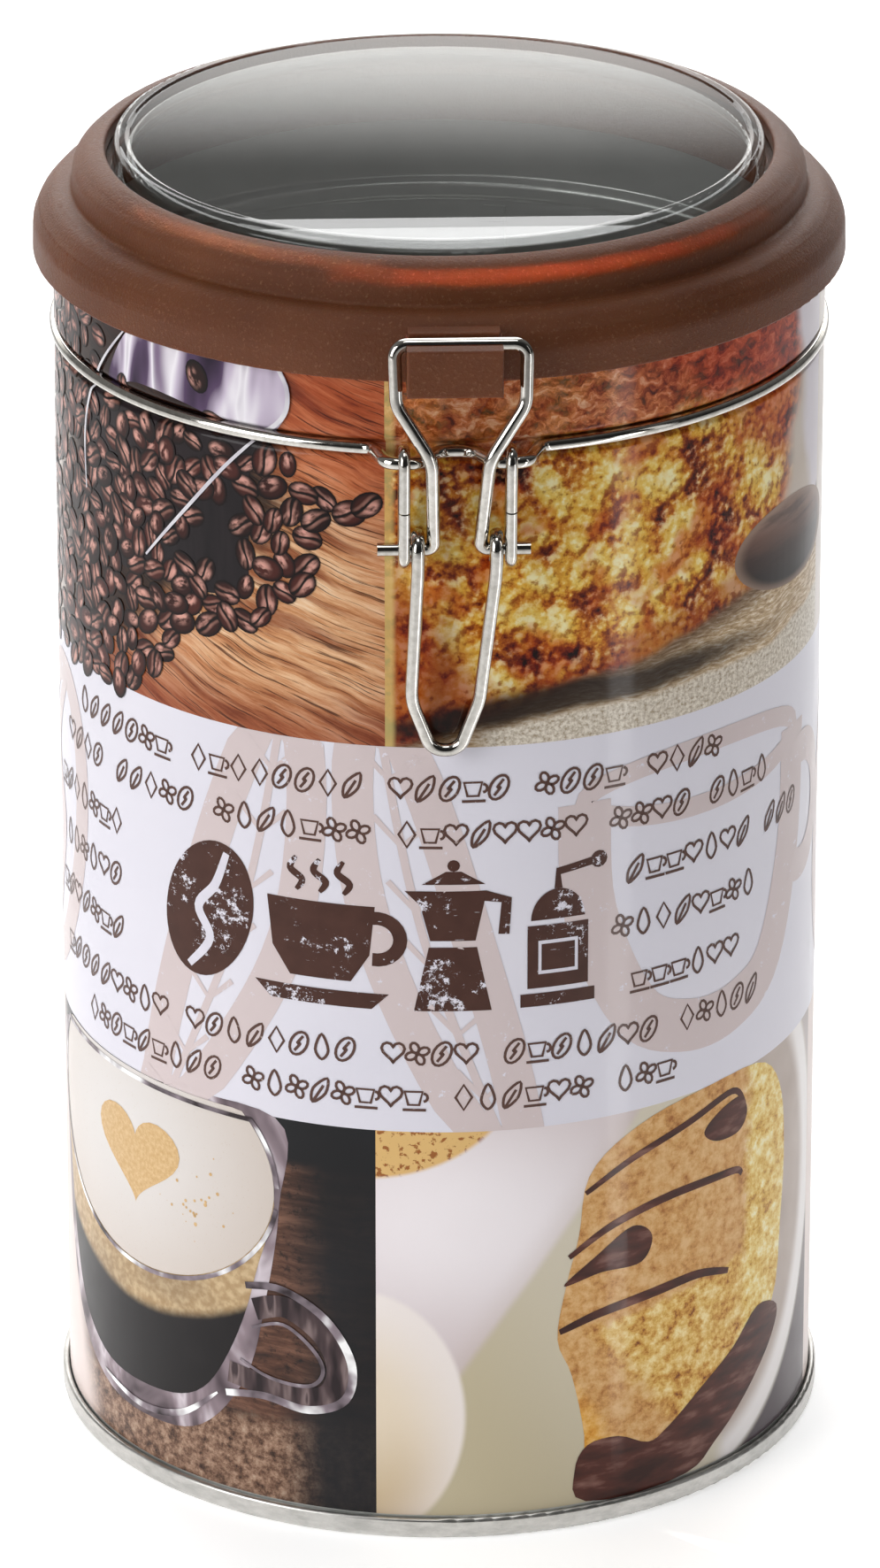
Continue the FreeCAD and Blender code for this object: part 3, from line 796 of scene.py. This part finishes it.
def glass_cup():
    """Milk foam over black coffee in a glass cup with a round handle."""
    ink, at = printed("cup glass")
    bands = ink.streaks(at, 10, (0.10, 0.05, 1), 3, 0.5, 0.8)
    clear = ink.ramp(bands, (0.36, "43363c"), (0.5, "8f7f86"), (0.60, "d3c8cf"), (0.7, "75666d"))
    stamped("cup_wall", lacquered(ink, clear), 2, smooth([
        (-79, 62), (-79.5, 50), (-77.5, 34), (-72, 19), (-62, 11), (-50, 9.5), (-39, 12), (-31, 22),
        (-27.5, 36), (-25.5, 50), (-26, 63.9), (-50, 63.9)]))

    ink, at = printed("coffee in the cup")
    level = ink.split(ink.shaken(at, 0.15, 0.8))[1]
    aside = ink.math("DIVIDE", ink.math("ADD", ink.split(at)[0], 52.0), 24.0)
    bow = ink.times(ink.math("POWER", aside, 2.0), -7.0)
    depth = ink.math("ADD", level, bow)
    cream = ink.mix(ink.span(ink.noise(at, 0.8, 4), 0.35, 0.7), "ae9068", "cdb38c")
    colour = ink.mix(ink.span(depth, 28.5, 26.5), cream, "120d0e")
    colour = ink.cover(colour, ink.span(ink.noise(at, 0.05, 2), 0.5, 0.7, 0, 0.5), 0.5, "3b3336")
    stamped("cup_coffee", lacquered(ink, colour), 3, smooth([
        (-78, 55), (-76.5, 40), (-71, 23), (-62, 15.5), (-50, 14.5), (-40, 17), (-34, 25), (-29.5, 38),
        (-27.5, 55), (-50, 60)]))

    ink, at = printed("milk foam")
    light = ink.oval(at, (-56, 54), (22, 18), 0.9)
    milk = ink.mix(light, "cbbdb2", "e0dbd8")
    bubbles = ink.cells(at, 1.3)
    milk = ink.mix(ink.span(bubbles, 0.05, 0.16, 0.2, 0), milk, "b9975f")
    stamped("cup_foam", lacquered(ink, milk), 4,
            [(u, min(v, BAND_LOW)) for u, v in ring_points((-52.5, 53), (26.3, 19.3), -4, 64)])

    ink, at = printed("cocoa")
    dust = ink.noise(at, 1.4, 5, 0.7)
    cocoa = ink.mix(ink.span(dust, 0.35, 0.7), "cda56f", "dfc08f")
    heart = Layer("foam_heart", lacquered(ink, cocoa), 5)
    heart.shape(heart_points((-52.5, 50), 19.5, 14))
    for _ in range(26):
        speck = (rng.gauss(-38.5, 3.0), rng.gauss(47, 4.0))
        heart.shape(ring_points(speck, (rng.uniform(0.1, 0.35),) * 2, 0, 7))
    heart.wrapped()

    edge, at = printed("glass edge")
    glint = edge.streaks(at, 0, (0.12, 0.12, 1), 3)
    bright = edge.ramp(glint, (0.38, "2f2529"), (0.5, "8d8088"), (0.6, "ffffff"))
    rim = Layer("cup_rim", lacquered(edge, bright), 6)
    rim.line([p for p in ring_points((-52.5, 53), (26.8, 19.8), -4, 72) if p[1] < BAND_LOW - 0.3][1:], 0.7)
    rim.curve([
        (-31, 36.5), (-25, 37), (-18.5, 33.5), (-14.6, 27), (-15.5, 21), (-21, 18.6), (-28, 19.5),
        (-34.5, 18.5)], 1.3, 0.2)
    rim.curve([
        (-30, 30), (-25, 31.5), (-20.5, 28.5), (-18.8, 25), (-21, 22.4), (-27, 22.6), (-32, 24.5)], 0.6,
        0.3)
    rim.curve([(-62, 12.5), (-52, 10.8), (-43, 12.6), (-36, 18)], 1.1, 0.7)
    rim.wrapped()

    ink, at = printed("glass handle")
    bands = ink.streaks(at, 35, (0.35, 0.09, 1), 2)
    tint = ink.ramp(bands, (0.40, "261b1e"), (0.52, "4d3d3f"), (0.61, "82706f"), (0.66, "3f3134"))
    loop = Layer("cup_handle", lacquered(ink, tint), 5)
    loop.curve([
        (-29.5, 33), (-24.5, 34.3), (-19, 31), (-16.6, 26), (-18, 21.5), (-23, 20.4), (-30, 21.5),
        (-34, 22)], 3.4)
    loop.wrapped()


def biscuit():
    """A slice of cake on the plate, iced with chocolate lines and dipped in chocolate."""
    ink, at = printed("biscuit crumb")
    grain = ink.noise(at, 0.7, 7, 0.72)
    lumps = ink.cells(ink.shaken(at, 0.5, 2), 0.45, "SMOOTH_F1")
    height = ink.math("ADD", ink.times(lumps, -0.35), grain)
    crust = ink.ramp(height, (0.12, "a06028"), (0.30, "cf9a58"), (0.50, "e2b882"))
    inside = ink.ramp(height, (0.14, "a8681c"), (0.26, "dcae48"), (0.40, "f0d88c"), (0.55, "fbf2cc"))
    torn = ink.ramp(height, (0.14, "763a12"), (0.23, "c2842f"), (0.35, "e0b660"), (0.52, "f5e0a4"))
    broken = ink.shaken(at, 0.4, 4)
    low = ink.times(ink.beyond(broken, (30, 32), -82, 0.8), ink.beyond(broken, (26, 24), 38, 2.5))
    corner = ink.beyond(broken, (19, 20), 215, 2)
    colour = ink.mix(low, crust, torn)
    colour = ink.mix(corner, colour, ink.mix(0.5, torn, "e89b2c"))
    side = ink.beyond(broken, (49.5, 40), -2, 1.5)
    colour = ink.mix(side, colour, inside)
    stamped("cake_slice", lacquered(ink, colour), 2, smooth([
        (20, 55), (26, 60.5), (36, 63.6), (52, 63.8), (59, 58), (61, 48), (60, 36), (57, 23), (42, 12),
        (30, 4.2), (20, 4.2), (19.5, 14), (17.5, 24), (15.3, 30), (16.5, 38), (18.5, 46)], steps=4))

    ink, at = printed("chocolate")
    shine = ink.streaks(at, 20, (0.12, 0.4, 1), 4, 0.5)
    colour = ink.ramp(shine, (0.35, "351811"), (0.55, "54291f"), (0.74, "8f675c"))
    icing = Layer("chocolate", lacquered(ink, colour), 3)
    icing.curve([(19.5, 52.5), (27, 56.5), (37, 59.5), (46, 61.5), (49, 58.5)], 1.1, 0.3)
    icing.curve([(17, 42.8), (24, 46.8), (34, 49), (46, 48.8), (48.5, 47.6)], 1.3, 0.4)
    icing.curve([(15.6, 31.2), (22, 33.2), (31, 34.4), (39, 34.8), (45.5, 33.2)], 1.5, 0.4)
    icing.shape(smooth([(40, 57), (43.5, 59.4), (48, 60), (49.6, 57), (47.5, 54.6), (42.5, 54.8)]))
    icing.shape(smooth([(16.2, 38.4), (21, 42.2), (27, 45.8), (30.4, 43.6), (28.6, 39.8), (22, 39.6)]))
    icing.shape(smooth([
        (19.8, 3.4), (18, 8.5), (20, 12.4), (25, 12.8), (30, 10.6), (33.5, 12), (40, 16.4), (47, 20.4),
        (53, 24.6), (59, 22.4), (57.4, 18), (50, 11.5), (43, 6.6), (37, 3.4)], steps=4))
    icing.wrapped()


def motif(kind, centre, size):
    """Strokes of one small ornament: bean, leaf, cup, drop, heart, diamond or flower."""
    u, v = centre
    s = size / 2

    def place(*points):
        return [(u + x * s, v + y * s) for x, y in points]

    if kind == "bean":
        crease = smooth(place((-0.35, -0.62), (0.12, 0), (-0.12, 0), (0.35, 0.62)), False, 4)
        return [(ring_points(centre, (0.62 * s, s), -28, 16), True), (crease, False)]
    if kind == "leaf":
        edge = smooth(place((-0.55, -1), (-0.5, 0.1), (0.6, 1), (0.45, -0.2)), True, 4)
        return [(edge, True), (place((-0.55, -1), (0.3, 0.4)), False)]
    if kind == "cup":
        bowl = place((-0.75, 0.45), (-0.5, -0.6), (0.3, -0.6), (0.55, 0.45))
        ear = ring_points((u + 0.62 * s, v), (0.3 * s, 0.32 * s), 0, 6, -90, 180)
        return [(bowl, True), (place((-0.9, -1), (0.8, -1)), False), (ear, False)]
    if kind == "drop":
        return [(smooth(place((0, 1), (-0.5, -0.25), (0, -1), (0.5, -0.25)), True, 4), True)]
    if kind == "heart":
        return [(heart_points(centre, 1.7 * s, 1.6 * s)[::2], True)]
    if kind == "diamond":
        return [(place((0, 1), (-0.6, 0), (0, -1), (0.6, 0)), True)]
    petals = []
    for turn in (math.pi * k / 2 + 0.4 for k in range(4)):
        middle = (u + 0.5 * s * math.cos(turn), v + 0.5 * s * math.sin(turn))
        petals.append((ring_points(middle, (0.42 * s, 0.3 * s), math.degrees(turn), 10), True))
    return petals


MOTIFS = ("bean", "leaf", "cup", "drop", "heart", "diamond", "flower")
MOTIF_SIZE = 3.9
MOTIF_PITCH = 3.45
MOTIF_STROKE = 0.42


def ornament_rows():
    """Rows of small brown ornaments in uneven groups, where such a band carries its pattern."""
    ink, at = printed("brown ornament ink")
    worn = ink.noise(at, 1.2, 4, 0.7)
    layer = Layer("ornaments", lacquered(ink, ink.mix(ink.span(worn, 0.62, 0.7), "5b4038", "a8968f")), 3)
    rows = (
        (-66, 41, 116.8), (-72, 53, 109.8), (-77, -50, 101.5), (-74, -55, 93.2), (-77, -50, 85.0),
        (27, 63, 101.5), (25, 51, 93.2), (28, 47, 84.5), (-74, 52, 76.2), (-64, 36, 69.4),
    )
    for start, end, v in rows:
        u = start
        left = rng.randint(4, 9)
        while u < end:
            if left == 0:
                left = rng.randint(4, 9)
                u += MOTIF_PITCH
                continue
            for points, closed in motif(rng.choice(MOTIFS), (u, v), MOTIF_SIZE):
                layer.line(points, MOTIF_STROKE, closed)
            left -= 1
            u += MOTIF_PITCH
    layer.wrapped()


def emblem():
    """Four large worn stencils: bean, cup, pot and mill."""
    ink, at = printed("worn dark stencil")
    wear = ink.noise(at, 0.55, 7, 0.8)
    patch = ink.noise(at, 0.10, 2)
    limit = ink.span(patch, 0.35, 0.65, 0.54, 0.70)
    gone = ink.math("GREATER_THAN", wear, limit)
    scratches = ink.streaks(at, 62, (0.12, 2.0, 1), 4, 0.7)
    gone = ink.math("MAXIMUM", gone, ink.math("GREATER_THAN", scratches, 0.69))
    tone = ink.mix(ink.noise(at, 0.3, 3), "3c2018", "54342a")
    layer = Layer("stencils", lacquered(ink, ink.mix(gone, tone, "e2dfe9")), 3)

    layer.shape(ring_points((-37, 94), (7.4, 11), -18, 48))
    cup = [(-27, 98.5), (-26.2, 91), (-23.5, 86.8), (-14.5, 86.8), (-11.8, 91), (-11, 98.5)]
    layer.shape(cup)
    layer.line(ring_points((-10.8, 93.6), (3.4, 3.2), 0, 14, -100, 200), 2.0)
    layer.shape([(-29, 85.2), (-9, 85.2), (-11.5, 82.8), (-26.5, 82.8)])
    for u in (-22.5, -19, -15.5):
        layer.curve([(u, 100), (u + 0.9, 101.6), (u - 0.9, 103.2), (u, 105)], 1.1, 0.5)
    layer.shape([(-5.5, 82.8), (5.5, 82.8), (3.4, 92.6), (-3.4, 92.6)])
    layer.shape([(-3.2, 93.6), (3.2, 93.6), (4.8, 101.2), (-6.8, 101.2), (-4.6, 99.0)])
    layer.shape([(-4.4, 102.2), (4.6, 102.2), (1.2, 104.2), (-1.0, 104.2)])
    layer.shape(ring_points((0.1, 105.1), (0.9, 0.9), 0, 12))
    layer.line([(4.6, 100.4), (7.6, 99.6), (7.2, 94.4)], 1.6)
    layer.shape([(9.6, 82.8), (20.6, 82.8), (20.6, 84.8), (9.6, 84.8)])
    layer.shape([(10.6, 85.6), (19.6, 85.6), (19.6, 95.2), (10.6, 95.2)])
    layer.shape(ring_points((15.1, 96.0), (4.0, 4.6), 0, 18, 0, 180))
    layer.line([(15.1, 100.6), (15.1, 103.2), (20.8, 104.2)], 1.2)
    layer.shape(ring_points((21.2, 104.2), (1.3, 1.3), 0, 12))
    layer.wrapped()

    pale, at = printed("pale cut")
    light = pale.mix(pale.noise(at, 0.5, 3), "d6d2de", "e6e3ec")
    cuts = Layer("stencil_cuts", lacquered(pale, light), 4)
    cuts.curve([(-33.6, 103.2), (-35.6, 98), (-38.6, 94), (-36.6, 89.5), (-40.4, 84.6)], 1.5, 0.3)
    cuts.line([(12.4, 88.0), (17.8, 88.0), (17.8, 92.6), (12.4, 92.6)], 0.7, closed=True)
    cuts.wrapped()


def ghosts():
    """Large faint shapes behind the ornaments, cut off by the band: a bean, two leaves and a cup."""
    ink, at = printed("faint beige ink")
    wear = ink.noise(at, 0.45, 7, 0.8)
    gone = ink.span(wear, 0.60, 0.64)
    layer = Layer("ghost_shapes", lacquered(ink, ink.mix(gone, "d5c6c6", "e2dfe9")), 2)

    def band_line(points, width, lift=0.0, closed=False, taper=0.0):
        for quad in ribbon(points, width, closed, taper):
            low = min(p[1] for p in quad)
            high = max(p[1] for p in quad)
            if high > BAND_LOW + 0.2 and low < BAND_TOP - 0.2:
                layer.shape([(u, min(max(v, BAND_LOW), BAND_TOP)) for u, v in quad], lift=lift)

    band_line(ring_points((-82, 94), (13, 24), -16, 60), 5, closed=True)
    band_line(smooth([(-76, 116), (-84, 104), (-79, 92), (-87, 74)], False), 4, 0.007, taper=0.5)
    for base, tip, bow, lift in (((-50, 52), (-23, 136), 5, 0.0), ((12, 50), (-12, 137), -4, 0.0035)):
        centre = ((base[0] + tip[0]) / 2 + bow, (base[1] + tip[1]) / 2)
        for side in (-1, 1):
            middle = (centre[0] + 7.5 * side, centre[1] - 2.2 * side)
            swell = 1.8 * side
            thirds = [((end[0] + middle[0]) / 2 + swell + bow / 6,
                       (end[1] + middle[1]) / 2) for end in (base, tip)]
            band_line(smooth([base, thirds[0], middle, thirds[1], tip], False), 6,
                      lift + (0.007 if side > 0 else 0))
        spine = smooth([base, centre, tip], False, 10)
        band_line(spine, 1.2, lift + 0.014)
        for u, v in spine[3:-3:2]:
            band_line([(u - 4, v + 4.5), (u, v), (u + 4, v + 3.6)], 0.9, lift + 0.021)
    band_line(smooth([
        (19, 113), (20, 96), (27, 80), (36, 75), (46, 75), (55, 80), (61, 96), (62, 113)], False), 8)
    band_line(ring_points((40.5, 113), (21.5, 4.5), 0, 40), 3, 0.007, closed=True)
    band_line(ring_points((66, 99), (8, 9), 0, 30, -120, 240), 5, 0.014)
    layer.wrapped()


def print_sheet():
    print_grounds()
    scoop()
    pile_of_beans()
    big_bean()
    glass_cup()
    biscuit()
    ghosts()
    ornament_rows()
    emblem()


# ---- stage, light, camera ----

BANK_EDGE = (0.3172, 0.3298)   # the bright backdrop fades out between these heights (as sines)
BANK_POWER = 2.0
STRIP_FOOT = (24.1, -49.4, 0)  # mm; the floor's glowing strip, a painted glow, starts here, by the foot of the can
STRIP_ALONG = (0.808, -0.588, 0)
STRIP_ACROSS = (0.588, 0.808, 0)
GLOW_STRIP_POWER = 3.8
CROWN_HEIGHT = 0.1915
CROWN_LAMP = (0.0088, 0.002)
CROWN_SPREAD = 1.2             # degrees
# lamps round the crown: degrees from the clasp, and share of the row's power
WARM_ROW = ((-14, 0.4), (-4, 0.7), (6, 0.85), (16, 0.85), (26, 0.7), (36, 0.6), (46, 0.35), (56, 0.1))
COOL_ROW = ((-56, 0.6), (-46, 0.9), (-36, 1.0), (-26, 0.9), (-16, 0.6))


def soft_box(name, place, aim, size, power, colour=(1, 1, 1)):
    light = bpy.data.lights.new(name, "AREA")
    light.shape = "RECTANGLE"
    light.size, light.size_y = size
    light.energy = power
    light.color = colour
    lamp = bpy.data.objects.new(name, light)
    lamp.location = place
    lamp.rotation_euler = (Vector(aim) - Vector(place)).to_track_quat("-Z", "Y").to_euler()
    lamp.visible_camera = False
    bpy.context.scene.collection.objects.link(lamp)
    return lamp


def stage_floor():
    """Matt white paper, far wider than the view. The paper glows: a painted glow round the can that fades
    to the sides and towards the camera, and a brighter glowing strip that the can's wall mirrors as a
    painted highlight.
    """
    bm = bmesh.new()
    bmesh.ops.create_grid(bm, x_segments=24, y_segments=24, size=6.0)
    mesh = bpy.data.meshes.new("floor")
    bm.to_mesh(mesh)
    bm.free()
    floor = bpy.data.objects.new("floor", mesh)
    floor.location.z = -0.0002
    bpy.context.scene.collection.objects.link(floor)
    paint = Paint("glowing white paper", Specular_IOR_Level=0.1, Emission_Color=(1, 1, 1, 1))
    place = object_place(paint)
    across, along, _ = paint.split(place)
    # painted glow of the paper round the can, fading to the sides and towards the camera
    sides = paint.span(paint.math("ABSOLUTE", across), 140, 340, 0.5, 0.12)
    lit = paint.times(sides, paint.span(along, -420, -130))
    # painted glow: a narrow bright strip running out from the can's foot, which the wall mirrors as a
    # highlight
    apart = paint.vector("SUBTRACT", place, STRIP_FOOT)
    away = paint.vector("DOT_PRODUCT", apart, STRIP_ALONG, out=1)
    aside = paint.math("ABSOLUTE", paint.vector("DOT_PRODUCT", apart, STRIP_ACROSS, out=1))
    slope = paint.math("DIVIDE", aside, paint.math("MAXIMUM", away, 1.0))
    strip = paint.times(paint.span(slope, 0.11, 0.04), paint.span(away, 5, 60))
    paint.put(paint.shader.inputs["Emission Strength"], paint.math("MULTIPLY_ADD", strip, GLOW_STRIP_POWER, lit))
    fibre = paint.noise(place, 0.8, 4)
    floor.data.materials.append(paint.finish(paint.ramp(fibre, (0.3, "f4f4f4"), (0.7, "f8f8f8")), 0.9))


def world_light():
    """Dim in front and brighter behind, with a white backdrop whose upper edge the window mirrors."""
    world = bpy.data.worlds.new("studio")
    bpy.context.scene.world = world
    world.use_nodes = True
    sky = Nodes(world.node_tree)
    place = sky.add("TexCoord")
    _, along, up = sky.split(place)
    bank = sky.times(sky.span(up, *BANK_EDGE, 1.0, 0.0), sky.span(along, 0.7, 0.92))
    toward = sky.vector("DOT_PRODUCT", place, (-0.35, 0.75, 0.55), out=1)
    general = sky.span(toward, -0.4, 0.8, 0.02, 0.2)
    background = sky.tree.nodes["Background"]
    sky.put(background.inputs[0], (1.0, 0.985, 0.96, 1))
    sky.put(background.inputs[1], sky.math("ADD", sky.times(bank, BANK_POWER), general))


def crown_light(degrees, radius, across, power, colour):
    """A small narrow lamp just above the lid's crown, lying along it at one place round the ring."""
    turn = math.radians(degrees)
    aim = Vector((radius * math.sin(turn), -radius * math.cos(turn), CROWN_HEIGHT))
    place = aim + Vector((across, -0.031, 0.064))
    lamp = soft_box(f"crown light {degrees}", place, aim, CROWN_LAMP, power, colour)
    lamp.data.spread = math.radians(CROWN_SPREAD)
    up = (place - aim).normalized()
    side = Vector((math.cos(turn), math.sin(turn), 0))
    side = (side - up * side.dot(up)).normalized()
    lamp.rotation_euler = Matrix((side, up.cross(side), up)).transposed().to_euler()


def light_stage():
    world_light()
    target = (0, 0, 0.1)
    soft_box("back softbox", (0.0, 1.05, 1.004), (0, 0, 0.15), (1.2, 0.85), 9)
    soft_box("key softbox", (-0.95, -0.62, 0.5), target, (0.7, 0.8), 8.1)
    soft_box("right strip", (1.1, -0.55, 0.35), target, (0.14, 1.0), 0.4)
    soft_box("overhead", (0, 0.6, 1.2), (0, 0.35, 0), (0.9, 0.8), 1.0).data.spread = math.radians(80)
    soft_box("lid light", (0, -0.3, 1.25), (0, 0, 0.19), (0.6, 0.5), 0.25).data.spread = math.radians(50)
    for degrees, share in WARM_ROW:
        crown_light(degrees, 0.0513, 0.0106, 0.00013 * share, (1.0, 0.25, 0.08))
    for degrees, share in COOL_ROW:
        crown_light(degrees, 0.0495, -0.0098, 0.00008 * share, (1.0, 0.9, 0.82))


def set_camera():
    """Long lens, a little left of the clasp and looking down on the lid."""
    data = bpy.data.cameras.new("camera")
    data.sensor_width = 36
    data.lens = 226.9
    data.shift_x = 0.0005
    camera = bpy.data.objects.new("camera", data)
    azimuth = math.radians(2.0)
    distance = 1.32675
    camera.location = (-distance * math.sin(azimuth), -distance * math.cos(azimuth), 0.65213)
    camera.rotation_euler = (math.radians(90.0 - 22.8), 0, -azimuth)
    bpy.context.scene.collection.objects.link(camera)
    bpy.context.scene.camera = camera
    bpy.context.scene.view_settings.view_transform = "Standard"


dress_parts()
print_sheet()
stage_floor()
light_stage()
set_camera()
